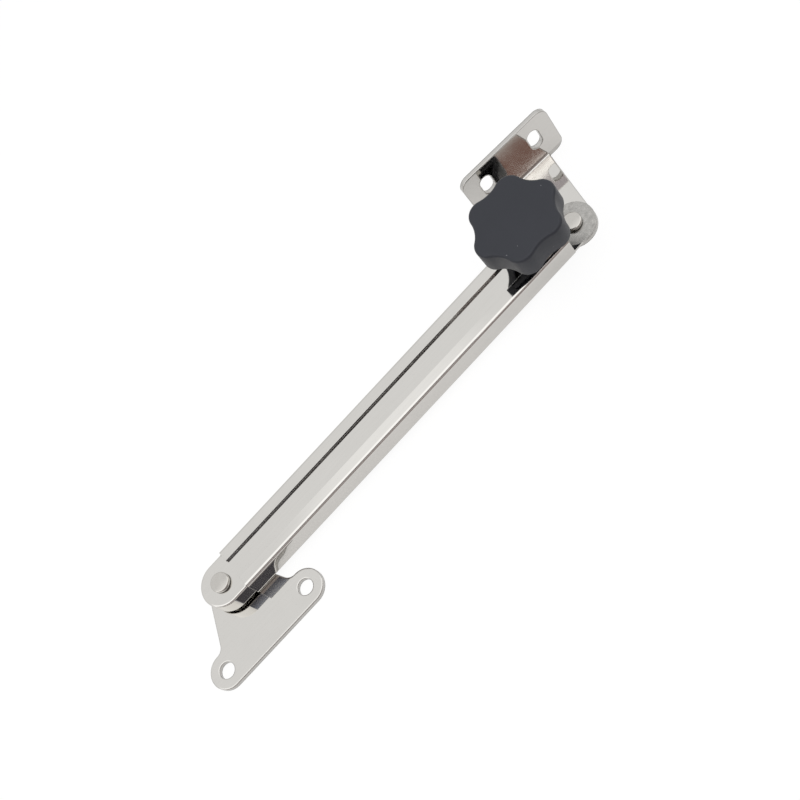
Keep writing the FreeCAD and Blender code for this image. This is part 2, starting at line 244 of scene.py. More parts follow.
@dataclass(frozen=True)
class ShearedEdge:
    """Sheared and tumbled edge of thick sheet, greyer and duller than the rolled faces.

    The rolled faces are those that lie flat under one level, and those that stand upright above
    another, square to a given direction. A dark line of shade is painted along the rims.
    """

    upright_face: tuple[float, float, float] = (0.0, 1.0, 0.0)
    flat_below: float = 4.0
    upright_above: float = 2.2
    square_from: float = 0.8
    tone: float = 0.84
    roughness: float = 0.16
    # Share of the colour left on the rims: a painted line of shade
    rim_shade_tone: float = 0.60
    rim_cosines: tuple[float, float] = (0.80, 0.98)

    def lay(self, skin: Skin) -> None:
        """Greys the sheared edges, and paints a dark line of shade on the rims where they meet the
        rolled faces.

        Args:
            skin: Surface so far, with a normal that is rounded at the rims; it takes the change.
        """
        tree = skin.tree
        facing = add(tree, "TexCoord").outputs["Normal"]
        parts = add(tree, "SeparateXYZ", {0: skin.place})
        rolled = []
        for way, limit, side in (((0.0, 0.0, 1.0), self.flat_below, "LESS_THAN"),
                                 (self.upright_face, self.upright_above, "GREATER_THAN")):
            along = add(tree, "VectorMath", {0: facing, 1: way}, operation="DOT_PRODUCT")
            size = add(tree, "Math", {0: along.outputs["Value"]}, operation="ABSOLUTE")
            square = add(tree, "Math", {0: size.outputs[0], 1: self.square_from},
                         operation="GREATER_THAN")
            there = add(tree, "Math", {0: parts.outputs["Z"], 1: limit * MM}, operation=side)
            rolled.append(add(tree, "Math", {0: square.outputs[0], 1: there.outputs[0]},
                              operation="MULTIPLY").outputs[0])
        face = add(tree, "Math", {0: rolled[0], 1: rolled[1]}, operation="MAXIMUM")
        skin.roughness = add(tree, "Mix", {
            "Factor": face.outputs[0], "A": self.roughness, "B": skin.roughness},
            data_type="FLOAT").outputs["Result"]
        grey = add(tree, "MapRange", {"Value": face.outputs[0], "To Min": self.tone, "To Max": 1.0})
        # Painted shade: a dark line on the rims, where the rounded normal turns away from the flat
        # face
        plain = add(tree, "NewGeometry").outputs["Normal"]
        bent = add(tree, "VectorMath", {0: plain, 1: skin.normal}, operation="DOT_PRODUCT")
        rim = add(tree, "MapRange", {
            "Value": bent.outputs["Value"], "From Min": self.rim_cosines[0],
            "From Max": self.rim_cosines[1], "To Min": self.rim_shade_tone, "To Max": 1.0})
        both = add(tree, "Math", {0: grey.outputs["Result"], 1: rim.outputs["Result"]},
                   operation="MULTIPLY")
        skin.colour = add(tree, "VectorMath", {
            0: skin.colour, "Scale": both.outputs[0]}, operation="SCALE").outputs[0]


@dataclass(frozen=True)
class PolishedSheet:
    """Polished 304 stainless sheet.

    Rolled bright, buffed along its length and then folded. It mirrors what stands round it almost
    sharply, with a slow waviness and faint clouds, and every sheared edge is rolled over a little
    so that it catches a thin line of light.
    """

    name: str
    seed: float
    edge_radius: float
    layers: tuple[Layer, ...] = ()
    roughness: float = 0.045
    roughness_shares: tuple[float, float] = (0.8, 1.5)
    cloud_size: float = 9.0
    cloud_share: float = 0.05
    cloud_peak: float = 0.8
    wave_length: float = 24.0
    wave_height: float = 0.010
    grain_spacing: float = 0.7
    grain_stretch: float = 0.03
    grain_height: float = 0.00008
    grain_share: float = 0.025

    def material(self) -> Material:
        """Builds the finish.

        Returns:
            The material.
        """
        material, tree = new_material(self.name)
        place = add(tree, "TexCoord").outputs["Object"]
        moved = add(tree, "Mapping", {"Vector": place, "Location": (self.seed, 0.0, 0.0)})
        # Clouds left by the buffing wheel, a few millimetres across
        clouds = add(tree, "TexNoise", {
            "Vector": moved.outputs[0], "Scale": 1 / (self.cloud_size * MM), "Detail": 4.0,
            "Roughness": 0.6})
        # Buffing grain along the length: really finer than 0.1 mm, drawn coarse enough to show
        stretched = add(tree, "Mapping", {
            "Vector": moved.outputs[0], "Scale": (self.grain_stretch, 1.0, 1.0)})
        grain = add(tree, "TexNoise", {
            "Vector": stretched.outputs[0], "Scale": 1 / (self.grain_spacing * MM), "Detail": 3.0})
        # Waviness of rolled sheet
        waves = add(tree, "TexNoise", {
            "Vector": moved.outputs[0], "Scale": 1 / (self.wave_length * MM), "Detail": 1.0})
        cloudy = add(tree, "Mix", {
            "Factor": clouds.outputs["Fac"],
            "A": linear(Metal.STAINLESS.value, 1 - self.cloud_share),
            "B": linear(Metal.STAINLESS.value)}, data_type="RGBA")
        streak = add(tree, "MapRange", {
            "Value": grain.outputs["Fac"], "From Min": NOISE_LOW, "From Max": NOISE_HIGH,
            "To Min": 1 - self.grain_share, "To Max": 1.0})
        tone = add(tree, "VectorMath", {
            0: cloudy.outputs["Result"], "Scale": streak.outputs["Result"]}, operation="SCALE")
        dull = add(tree, "MapRange", {
            "Value": clouds.outputs["Fac"], "From Min": NOISE_LOW, "From Max": self.cloud_peak,
            "To Min": self.roughness * self.roughness_shares[0],
            "To Max": self.roughness * self.roughness_shares[1]})
        soft_edge = add(tree, "Bevel", {"Radius": self.edge_radius * MM}, samples=8)
        skin = Skin(tree, place, tone.outputs[0], dull.outputs["Result"], soft_edge.outputs[0])
        for layer in self.layers:
            layer.lay(skin)
        waved = add(tree, "Bump", {
            "Height": waves.outputs["Fac"], "Distance": self.wave_height * MM,
            "Normal": skin.normal})
        grained = add(tree, "Bump", {
            "Height": grain.outputs["Fac"], "Distance": self.grain_height * MM,
            "Normal": waved.outputs[0]})
        shader = add(tree, "BsdfPrincipled", {
            "Base Color": skin.colour, "Roughness": skin.roughness, "Metallic": 1.0,
            "Normal": grained.outputs[0]})
        add(tree, "OutputMaterial", {"Surface": shader.outputs[0]})
        return material


@dataclass(frozen=True)
class TurnedMetal:
    """Turned stainless steel or brass bar.

    The lathe leaves fine rings about the axis, so a flat end shows a soft streak that runs across
    it, and the handling since has blurred the shine. A head's side is painted darker near its foot,
    as shade where it meets its seat.
    """

    name: str
    axis: Vector
    metal: Metal = Metal.RIVET_STAINLESS
    roughness: float = 0.10
    roughness_shares: tuple[float, float] = (0.7, 1.5)
    ring_spacing: float = 0.45
    ring_height: float = 0.0005
    blotch_size: float = 1.8
    blotch_tone: float = 0.84
    edge_radius: float = 0.15
    # Painted shade at a head's foot: darkest just above this level, gone at foot_depth above it
    foot: Optional[float] = None
    foot_depth: float = 0.9
    foot_shade_tone: float = 0.30

    def material(self) -> Material:
        """Builds the finish.

        Returns:
            The material.
        """
        material, tree = new_material(self.name)
        place = add(tree, "TexCoord").outputs["Object"]
        centred = add(tree, "Mapping", {
            "Vector": place, "Location": (-self.axis.x, -self.axis.y, 0.0)})
        # Lathe rings: a real cut is nearer 0.1 mm, drawn coarse enough to show
        rings = add(tree, "TexWave", {
            "Vector": centred.outputs[0], "Scale": WAVE_PERIOD / (self.ring_spacing * MM),
            "Distortion": 0.6, "Detail": 2.0, "Detail Scale": 1.5},
            wave_type="RINGS", rings_direction="Z")
        blotch = add(tree, "TexNoise", {
            "Vector": place, "Scale": 1 / (self.blotch_size * MM), "Detail": 5.0,
            "Roughness": 0.65})
        tone = add(tree, "Mix", {
            "Factor": blotch.outputs["Fac"], "A": linear(self.metal.value, self.blotch_tone),
            "B": linear(self.metal.value)}, data_type="RGBA")
        dull = add(tree, "MapRange", {
            "Value": blotch.outputs["Fac"], "From Min": NOISE_LOW, "From Max": NOISE_HIGH,
            "To Min": self.roughness * self.roughness_shares[0],
            "To Max": self.roughness * self.roughness_shares[1]})
        soft_edge = add(tree, "Bevel", {"Radius": self.edge_radius * MM}, samples=6)
        skin = Skin(tree, place, tone.outputs["Result"], dull.outputs["Result"],
                    soft_edge.outputs[0])
        # Shade painted at the head's foot
        if self.foot is not None:
            self.paint_foot_shade(skin)
        ringed = add(tree, "Bump", {
            "Height": rings.outputs["Fac"], "Distance": self.ring_height * MM,
            "Normal": skin.normal})
        shader = add(tree, "BsdfPrincipled", {
            "Base Color": skin.colour, "Roughness": skin.roughness, "Metallic": 1.0,
            "Normal": ringed.outputs[0]})
        add(tree, "OutputMaterial", {"Surface": shader.outputs[0]})
        return material

    def paint_foot_shade(self, skin: Skin) -> None:
        """Paints shade on the side of a head, darkest just above its seat level, and nothing below
        it.

        Args:
            skin: Surface so far, which takes the change.
        """
        tree = skin.tree
        parts = add(tree, "SeparateXYZ", {0: skin.place})
        # Painted shade: darkest over the lower half of the foot depth, fading to none at its top
        out_of_shade = add(tree, "MapRange", {
            "Value": parts.outputs["Z"], "From Min": (self.foot + self.foot_depth / 2) * MM,
            "From Max": (self.foot + self.foot_depth) * MM, "To Min": self.foot_shade_tone,
            "To Max": 1.0})
        below = add(tree, "Math", {0: parts.outputs["Z"], 1: self.foot * MM}, operation="LESS_THAN")
        share = add(tree, "Math", {0: out_of_shade.outputs["Result"], 1: below.outputs[0]},
                    operation="MAXIMUM")
        skin.colour = add(tree, "VectorMath", {
            0: skin.colour, "Scale": share.outputs[0]}, operation="SCALE").outputs[0]


@dataclass(frozen=True)
class MouldedNylon:
    """Glass-filled nylon, moulded in charcoal in a spark-eroded tool.

    The tool leaves a fine even pebble that breaks the shine into a soft sheen, stronger where the
    surface turns away, with a few pale specks of dust and glass.
    """

    name: str
    colour: str = "#2A2C33"
    shine: float = 0.35
    roughness: float = 0.46
    smoother: float = 0.05
    rougher: float = 0.07
    pebble_size: float = 0.45
    pebble_height: float = 0.014
    flow_size: float = 11.0
    flow_share: float = 0.10
    speck_spacing: float = 4.5
    speck_radius: float = 0.16
    speck_share: float = 0.45
    speck_colour: str = "#8C8D90"

    def material(self) -> Material:
        """Builds the finish.

        Returns:
            The material.
        """
        material, tree = new_material(self.name)
        place = add(tree, "TexCoord").outputs["Object"]
        # Spark-eroded pebble: about 0.15 mm on the tool, drawn coarse enough to show
        pebble = add(tree, "TexNoise", {
            "Vector": place, "Scale": 1 / (self.pebble_size * MM), "Detail": 3.0,
            "Roughness": 0.55})
        flow = add(tree, "TexNoise", {
            "Vector": place, "Scale": 1 / (self.flow_size * MM), "Detail": 2.0})
        specks = add(tree, "TexVoronoi", {"Vector": place, "Scale": 1 / (self.speck_spacing * MM)})
        spot = add(tree, "Math", {
            0: specks.outputs["Distance"], 1: self.speck_radius / self.speck_spacing},
            operation="LESS_THAN")
        chosen = add(tree, "SeparateColor", {0: specks.outputs["Color"]})
        few = add(tree, "Math", {0: chosen.outputs[0], 1: self.speck_share}, operation="LESS_THAN")
        speck = add(tree, "Math", {0: spot.outputs[0], 1: few.outputs[0]}, operation="MULTIPLY")
        shade = add(tree, "Mix", {
            "Factor": flow.outputs["Fac"], "A": linear(self.colour, 1 - self.flow_share),
            "B": linear(self.colour, 1 + self.flow_share)}, data_type="RGBA")
        tone = add(tree, "Mix", {
            "Factor": speck.outputs[0], "A": shade.outputs["Result"],
            "B": linear(self.speck_colour)}, data_type="RGBA")
        dull = add(tree, "MapRange", {
            "Value": pebble.outputs["Fac"], "From Min": NOISE_LOW, "From Max": NOISE_HIGH,
            "To Min": self.roughness - self.smoother, "To Max": self.roughness + self.rougher})
        pebbled = add(tree, "Bump", {
            "Height": pebble.outputs["Fac"], "Distance": self.pebble_height * MM})
        shader = add(tree, "BsdfPrincipled", {
            "Base Color": tone.outputs["Result"], "Roughness": dull.outputs["Result"],
            "IOR": 1.53, "Specular IOR Level": self.shine, "Normal": pebbled.outputs[0]})
        add(tree, "OutputMaterial", {"Surface": shader.outputs[0]})
        return material


# Corners nearer than this are one corner, and a corner this near to a rim lies on it
MERGED, NEAR = 0.0005, 0.01
# Edges that turn by more than this, in degrees, stay sharp
SHARP_FROM = 38.0


def axis_of(node: str) -> Vector:
    """Point in the level z = 0 on the upright axis of a round CAD node, in metres."""
    low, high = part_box(node)
    return Vector(((low.x + high.x) / 2, (low.y + high.y) / 2, 0.0))


def size_of(node: str) -> tuple[float, float, float]:
    """Radius, foot and top of a round CAD node."""
    low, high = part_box(node)
    return (high.x - low.x) / 2 / MM, low.z / MM, high.z / MM


def dress(node: str, finish: Material) -> Object:
    """Gives a CAD node its finish.

    Args:
        node: Name of the CAD node.
        finish: Material for all its slots.

    Returns:
        The node's object.
    """
    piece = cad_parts[node]
    for material_slot in piece.material_slots:
        material_slot.material = finish
    return piece


def lathe(profile: list[tuple[float, float]], axis: Vector, steps: int) -> Mesh:
    """Turns a profile once round an upright axis.

    Args:
        profile: Radius and level of each corner; it ends on the axis or where it started.
        axis: Point on the axis, in metres.
        steps: Number of flats round the turn.

    Returns:
        A closed mesh, in metres.
    """
    mesh = bmesh.new()
    corners = [mesh.verts.new((axis.x + radius * MM, axis.y, level * MM))
               for radius, level in profile]
    edges = [mesh.edges.new(pair) for pair in zip(corners, corners[1:])]
    bmesh.ops.spin(mesh, geom=corners + edges, cent=axis, axis=(0, 0, 1),
                   angle=2 * math.pi, steps=steps, use_merge=True)
    bmesh.ops.remove_doubles(mesh, verts=mesh.verts, dist=MERGED * MM)
    bmesh.ops.recalc_face_normals(mesh, faces=mesh.faces)
    return mesh


def rim_edges(mesh: Mesh, axis: Vector, radius: float, level: float,
              spread: float = NEAR) -> list[Edge]:
    """Finds a rim about an upright axis.

    Args:
        mesh: Mesh to search.
        axis: Point on the rim's axis, in metres.
        radius: Radius of the rim, or its middle radius where it isn't round.
        level: Level of the rim.
        spread: How far the rim's corners may be from that radius.

    Returns:
        The edges of the rim.
    """
    def on_rim(vert: Vert) -> bool:
        """Whether a vertex lies on the rim."""
        reach = math.hypot(vert.co.x - axis.x, vert.co.y - axis.y)
        return abs(reach - radius * MM) < spread * MM and abs(vert.co.z - level * MM) < NEAR * MM

    return [edge for edge in mesh.edges if all(on_rim(vert) for vert in edge.verts)]


def round_edges(mesh: Mesh, edges: list[Edge], radius: float, segments: int) -> None:
    """Rounds edges of a mesh.

    Args:
        mesh: Mesh that holds the edges.
        edges: Edges to round.
        radius: Radius of the rounding.
        segments: Number of flats across the rounding.
    """
    bmesh.ops.bevel(mesh, geom=edges, offset=radius * MM, offset_type="OFFSET",
                    segments=segments, profile=0.5, affect="EDGES", material=-1,
                    clamp_overlap=True)


def new_object(mesh: Mesh, name: str, material: Material) -> Object:
    """Turns a mesh into an object of the scene.

    Args:
        mesh: Finished mesh, in metres, which is freed.
        name: Name of the object and its mesh.
        material: Its material.

    Returns:
        The object, at the origin.
    """
    data = bpy.data.meshes.new(name)
    mesh.to_mesh(data)
    mesh.free()
    data.materials.append(material)
    made = bpy.data.objects.new(name, data)
    bpy.context.scene.collection.objects.link(made)
    return made


def finish_piece(mesh: Mesh, name: str, finish: Material, body: str, node: str) -> Object:
    """Turns a mesh into a piece that stands for a CAD node.

    Args:
        mesh: Finished mesh, in metres, in the frame of the CAD model.
        name: Name of the piece.
        finish: Its material.
        body: Body that it moves with.
        node: CAD node that it stands for.

    Returns:
        The new object.
    """
    piece = new_object(mesh, name, finish)
    piece.data.polygons.foreach_set("use_smooth", [True] * len(piece.data.polygons))
    piece.data.set_sharp_from_angle(angle=math.radians(SHARP_FROM))
    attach(piece, body)
    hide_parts(node)
    return piece


@dataclass
class PivotRivet:
    """Turned rivet: a tall flat head on its seat and a flush spread tail."""

    node: str
    body: str
    head_height: float = 1.8
    shank_radius: float = 3.0
    tail_radius: float = 3.8
    tail_depth: float = 1.0
    rim_round: float = 0.5
    rim_steps: int = 5
    foot_round: float = 0.35
    foot_steps: int = 3
    steps: int = 72

    def build(self) -> Object:
        """Turns the rivet and gives it its finish.

        Returns:
            The rivet.
        """
        axis = axis_of(self.node)
        head_radius, foot, top = size_of(self.node)
        seat = top - self.head_height
        mesh = lathe([(0.0, foot), (self.tail_radius, foot),
                      (self.shank_radius, foot + self.tail_depth), (self.shank_radius, seat),
                      (head_radius, seat), (head_radius, top), (0.0, top)], axis, self.steps)
        for level, radius, steps in ((top, self.rim_round, self.rim_steps),
                                     (seat, self.foot_round, self.foot_steps)):
            round_edges(mesh, rim_edges(mesh, axis, head_radius, level), radius, steps)
        # Shade is painted on the head's side just above its seat
        finish = TurnedMetal("turned_stainless_" + self.node, axis, foot=seat).material()
        return finish_piece(mesh, self.node + "_turned", finish, self.body, self.node)


@dataclass
class MountingEnd:
    """Flat plate that is screwed down, with the lower rivet and its spacer."""

    plate: str = "mounting_plate"
    spacer: str = "lower_spacer"

    def build(self) -> list[Object]:
        """Dresses the plate and the spacer and turns the rivet.

        Returns:
            The three pieces.
        """
        sheet = PolishedSheet("polished_stainless_plate", seed=0.31, edge_radius=0.8,
                              layers=(ShearedEdge(),)).material()
        bar = TurnedMetal("turned_stainless_spacer", axis_of(self.spacer),
                          roughness=0.35).material()
        return [dress(self.plate, sheet), dress(self.spacer, bar),
                PivotRivet("lower_rivet", "plate").build()]


@dataclass
class SlidingArm:
    """Pressed channel that slides in the rail, with the clamp bolt in its web."""

    arm: str = "inner_arm"
    bolt: str = "clamp_bolt"

    def build(self) -> list[Object]:
        """Dresses the channel and its bolt.

        Returns:
            The two pieces.
        """
        sheet = PolishedSheet("polished_stainless_arm", seed=0.77, edge_radius=0.3).material()
        bar = TurnedMetal("turned_stainless_bolt", axis_of(self.bolt)).material()
        return [dress(self.arm, sheet), dress(self.bolt, bar)]


@dataclass
class FoldedRail:
    """Folded rail whose lips hold the arm, with a lug rubbed dull round the upper rivet."""

    rail: str = "outer_rail"
    pivot_node: str = "upper_rivet"
    lug_radius: float = 9.2
    lip_inner: float = 4.7
    sheet_thick: float = 1.0

    def build(self) -> list[Object]:
        """Dresses the rail.

        Returns:
            The rail.
        """
        axis = axis_of(self.pivot_node)
        zone = RubbedZone(axis, self.lug_radius)
        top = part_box(self.rail)[1].z / MM
        lip = SprungLip(inner_y=axis.y / MM - self.lip_inner,
                        lowest_z=top - self.sheet_thick / 2)
        sheet = PolishedSheet("polished_stainless_rail", seed=0.12, edge_radius=0.12,
                              layers=(zone, lip)).material()
        return [dress(self.rail, sheet)]


@dataclass
class LidBracket:
    """Angle bracket for the lid, with the upper rivet and its washer."""

    bracket: str = "angle_bracket"
    washer: str = "upper_washer"
    turn: float = 4.0

    def build(self) -> list[Object]:
        """Dresses the bracket and the washer and turns the rivet.

        Returns:
            The three pieces.
        """
        turn = math.radians(self.turn)
        edge = ShearedEdge(upright_face=(math.sin(turn), math.cos(turn), 0.0))
        sheet = PolishedSheet("polished_stainless_bracket", seed=0.53, edge_radius=0.8,
                              layers=(edge,)).material()
        bar = TurnedMetal("turned_stainless_washer", axis_of(self.washer)).material()
        return [dress(self.bracket, sheet), dress(self.washer, bar),
                PivotRivet("upper_rivet", "bracket").build()]


@dataclass
class ClampKnob:
    """Star knob on its insert, and the washer under it."""

    knob: str = "star_knob"
    insert: str = "knob_insert"
    washer: str = "clamp_washer"
    lobes: int = 6
    radius: float = 18.9
    lobe_round: float = 6.0
    valley_radius: float = 16.0
    turn: float = -3.1
    head_thick: float = 11.0
    top_round: float = 1.3
    top_steps: int = 6
    under_round: float = 0.5
    under_steps: int = 3
    wall: float = 2.6
    core_depth: float = 6.5
    ceiling_sink: float = 0.5
    rib_thick: float = 2.0
    rib_rise: float = 0.3
    rib_sink: float = 1.0
    hub_radius: float = 8.0
    hub_round: float = 0.5
    hub_round_steps: int = 4
    hub_steps: int = 72
    insert_radius: float = 4.5
    insert_length: float = 12.0
    bore_radius: float = 3.05
    washer_round: float = 0.3
    washer_round_steps: int = 3
    washer_steps: int = 80
    lobe_steps: int = 18
    hollow_steps: int = 10
    outline_merged: float = 0.005
    upright_below: float = 0.5

    def build(self) -> list[Object]:
        """Makes the knob and its washer and dresses the insert.

        Returns:
            The three pieces.
        """
        axis = axis_of(self.knob)
        nylon = MouldedNylon("moulded_charcoal_nylon").material()
        brass = TurnedMetal("turned_brass", axis, Metal.BRASS).material()
        steel = TurnedMetal("turned_stainless_clamp_washer", axis).material()
        knob = finish_piece(self.moulding(axis), "star_knob_moulded", nylon, "knob", self.knob)
        washer = finish_piece(self.washer_ring(axis), "clamp_washer_turned", steel, "clamp",
                              self.washer)
        return [knob, washer, dress(self.insert, brass)]

    def washer_ring(self, axis: Vector) -> Mesh:
        """Turns the washer.

        Args:
            axis: Point on its axis, in metres.

        Returns:
            The washer's mesh.
        """
        radius, foot, top = size_of(self.washer)
        bore = self.bore_radius
        mesh = lathe([(bore, foot), (radius, foot), (radius, top), (bore, top), (bore, foot)],
                     axis, self.washer_steps)
        for level in (foot, top):
            round_edges(mesh, rim_edges(mesh, axis, radius, level), self.washer_round,
                        self.washer_round_steps)
        return mesh

    def outline(self, mesh: Mesh, axis: Vector, level: float) -> bmesh.types.BMFace:
        """Draws the lobed outline from one lobe and one hollow, spun round six times.

        Args:
            mesh: Mesh that takes the outline.
            axis: Point on the knob's axis, in metres.
            level: Level of the outline.

        Returns:
            The face that the outline bounds.
        """
        reach = self.radius - self.lobe_round
        over = self.valley_radius
        half = math.pi / self.lobes
        known = reach ** 2 + over ** 2 - 2 * reach * over * math.cos(half) - self.lobe_round ** 2
        hollow = known / (2 * self.lobe_round - 2 * over + 2 * reach * math.cos(half))
        base = Vector((axis.x, axis.y, level * MM))
        lobe = base + Vector((reach, 0.0, 0.0)) * MM
        dip = base + Matrix.Rotation(half, 3, "Z") @ Vector(((over + hollow) * MM, 0.0, 0.0))
        across = (dip - lobe).normalized()
        turn = math.atan2(across.y, across.x)
        start = mesh.verts.new(lobe + Matrix.Rotation(-turn, 3, "Z")
                               @ Vector((self.lobe_round * MM, 0.0, 0.0)))
        spun = bmesh.ops.spin(mesh, geom=[start], cent=lobe, axis=(0, 0, 1), angle=2 * turn,
                              steps=self.lobe_steps)
        last = [item for item in spun["geom_last"] if isinstance(item, Vert)]
        bmesh.ops.spin(mesh, geom=last, cent=dip, axis=(0, 0, 1),
                       angle=-2 * (turn - half), steps=self.hollow_steps)
        bmesh.ops.spin(mesh, geom=list(mesh.verts) + list(mesh.edges), cent=base, axis=(0, 0, 1),
                       angle=2 * math.pi, steps=self.lobes, use_duplicate=True)
        bmesh.ops.remove_doubles(mesh, verts=mesh.verts, dist=self.outline_merged * MM)
        made = bmesh.ops.contextual_create(mesh, geom=list(mesh.edges))
        return made["faces"][0]

    def moulding(self, axis: Vector) -> Mesh:
        """Models the lobed head, cored out below, with its ribs and its hub.

        Args:
            axis: Point on the knob's axis, in metres.

        Returns:
            The knob's mesh.
        """
        _, hub_foot, top = size_of(self.knob)
        foot = top - self.head_thick
        mesh = bmesh.new()
        base = self.outline(mesh, axis, foot)
        lifted = bmesh.ops.extrude_face_region(mesh, geom=[base], use_keep_orig=True)
        raised = [item for item in lifted["geom"] if isinstance(item, Vert)]
        bmesh.ops.translate(mesh, verts=raised, vec=(0, 0, self.head_thick * MM))
        bmesh.ops.recalc_face_normals(mesh, faces=mesh.faces)
        under = min(mesh.faces, key=lambda face: face.calc_center_median().z)
        bmesh.ops.inset_region(mesh, faces=[under], thickness=self.wall * MM,
                               use_even_offset=True)
        core = bmesh.ops.extrude_face_region(mesh, geom=[under])
        sunk = [item for item in core["geom"] if isinstance(item, Vert)]
        bmesh.ops.translate(mesh, verts=sunk, vec=(0, 0, self.core_depth * MM))
        if under.is_valid:
            bmesh.ops.delete(mesh, geom=[under], context="FACES_ONLY")
        bmesh.ops.recalc_face_normals(mesh, faces=mesh.faces)
        round_edges(mesh, self.outer_rim(mesh, axis, top), self.top_round, self.top_steps)
        round_edges(mesh, self.outer_rim(mesh, axis, foot), self.under_round, self.under_steps)
        self.add_ribs(mesh, axis, foot)
        self.add_hub(mesh, axis, hub_foot, foot + self.core_depth)
        bmesh.ops.rotate(mesh, cent=axis, verts=mesh.verts,
                         matrix=Matrix.Rotation(math.radians(self.turn), 3, "Z"))
        return mesh

    def outer_rim(self, mesh: Mesh, axis: Vector, level: float) -> list[Edge]:
        """Finds the lobed outer edge.

        Args:
            mesh: Mesh to search.
            axis: Point on the knob's axis, in metres.
            level: Level of the edge.

        Returns:
            The edges of the outline at that level, without those of the core.
        """
        middle = (self.radius + self.valley_radius) / 2
        spread = (self.radius - self.valley_radius + self.wall) / 2
        return [edge for edge in rim_edges(mesh, axis, middle, level, spread)
                if len(edge.link_faces) == 2 and self.faces_outwards(edge, axis)]

    def faces_outwards(self, edge: Edge, axis: Vector) -> bool:
        """Tells the edges of an upright wall that looks away from the axis.

        Args:
            edge: Edge with two faces.
            axis: Point on the knob's axis, in metres.

        Returns:
            Whether one of the faces is such a wall.
        """
        wall = min(edge.link_faces, key=lambda face: abs(face.normal.z))
        away = wall.calc_center_median() - axis
        outwards = wall.normal.x * away.x + wall.normal.y * away.y > 0
        return outwards and abs(wall.normal.z) < self.upright_below

    def add_ribs(self, mesh: Mesh, axis: Vector, foot: float) -> None:
        """Adds one rib to each lobe, from the hub into the wall.

        Args:
            mesh: Mesh of the knob.
            axis: Point on its axis, in metres.
            foot: Level of the head's underside.
        """
        reach = self.radius - self.wall / 2
        inner = self.hub_radius - self.rib_sink
        height = self.core_depth + self.ceiling_sink
        size = Matrix.Diagonal(((reach - inner) * MM, self.rib_thick * MM, height * MM, 1.0))
        shift = Matrix.Translation(((reach + inner) / 2 * MM, 0,
                                    (foot + self.rib_rise + height / 2) * MM))
        for turn in range(self.lobes):
            spin = Matrix.Rotation(turn * 2 * math.pi / self.lobes, 4, "Z")
            bmesh.ops.create_cube(mesh, size=1.0,
                                  matrix=Matrix.Translation(axis) @ spin @ shift @ size)

    def add_hub(self, mesh: Mesh, axis: Vector, foot: float, top: float) -> None:
        """Adds the hub with the pocket of the insert.

        Args:
            mesh: Mesh of the knob.
            axis: Point on its axis, in metres.
            foot: Level of the hub's foot.
            top: Level of the core's ceiling.
        """
        pocket = foot + self.insert_length
        head = top + self.ceiling_sink
        hub = lathe([(0.0, pocket), (self.insert_radius, pocket), (self.insert_radius, foot),
                     (self.hub_radius, foot), (self.hub_radius, head), (0.0, head)],
                    axis, self.hub_steps)
        round_edges(hub, rim_edges(hub, axis, self.hub_radius, foot), self.hub_round,
                    self.hub_round_steps)
        part = bpy.data.meshes.new("hub")
        hub.to_mesh(part)
        hub.free()
        mesh.from_mesh(part)
        bpy.data.meshes.remove(part)


@dataclass(frozen=True)
class Card:
    """Card behind the camera that the folded corners of the sheet mirror.

    Its ends and edges are counted from the camera's eye, across and upwards in the view, before
    it is turned. A second colour runs along its upper edge, at the left.
    """

    name: str
    colour: str
    left: float
    right: float
    foot: float
    head: float
    turn: float = -1.0
    glow: float = 1.0
    head_colour: Optional[str] = None
    head_from: float = 5.0
    head_full: float = 7.5
    head_until: float = -150.0
    head_gone: float = -120.0
    behind: float = 20.0

    def build(self, eye: Vector, back: Vector) -> None:
        """Stands the card behind the camera, square to its view.

        Args:
            eye: Camera's place, in metres.
            back: Direction from the object to the camera.
        """
        size = Matrix.Diagonal(((self.right - self.left) * MM, (self.head - self.foot) * MM,
                                1.0, 1.0))
        middle = Matrix.Translation(((self.left + self.right) / 2 * MM,
                                     (self.foot + self.head) / 2 * MM, 0.0))
        spin = Matrix.Rotation(math.radians(self.turn), 4, "Z")
        mesh = bmesh.new()
        bmesh.ops.create_grid(mesh, x_segments=1, y_segments=1, size=0.5,
                              matrix=spin @ middle @ size)
        card = new_object(mesh, self.name, self.paper())
        along = (Vector((1.0, 0.0, 0.0)) - back * back.x).normalized()
        turn = Matrix((along, back.cross(along), back)).transposed().to_4x4()
        card.matrix_world = Matrix.Translation(eye + back * self.behind * MM) @ turn
        for rays in ("camera", "diffuse", "shadow", "transmission"):
            setattr(card, "visible_" + rays, False)

    def paper(self) -> Material:
        """Makes the card's glowing paper.

        Returns:
            The material.
        """
        material, tree = new_material(self.name)
        place = add(tree, "TexCoord").outputs["Object"]
        parts = add(tree, "SeparateXYZ", {0: place})
        high = add(tree, "MapRange", {
            "Value": parts.outputs["Y"], "From Min": self.head_from * MM,
            "From Max": self.head_full * MM})
        left = add(tree, "MapRange", {
            "Value": parts.outputs["X"], "From Min": self.head_until * MM,
            "From Max": self.head_gone * MM, "To Min": 1.0, "To Max": 0.0})
        share = add(tree, "Math", {0: high.outputs["Result"], 1: left.outputs["Result"]},
                    operation="MULTIPLY")
        tone = add(tree, "Mix", {
            "Factor": share.outputs[0], "A": linear(self.colour),
            "B": linear(self.head_colour or self.colour)}, data_type="RGBA")
        shade = add(tree, "Emission", {"Color": tone.outputs["Result"], "Strength": self.glow})
        add(tree, "OutputMaterial", {"Surface": shade.outputs[0]})
        return material


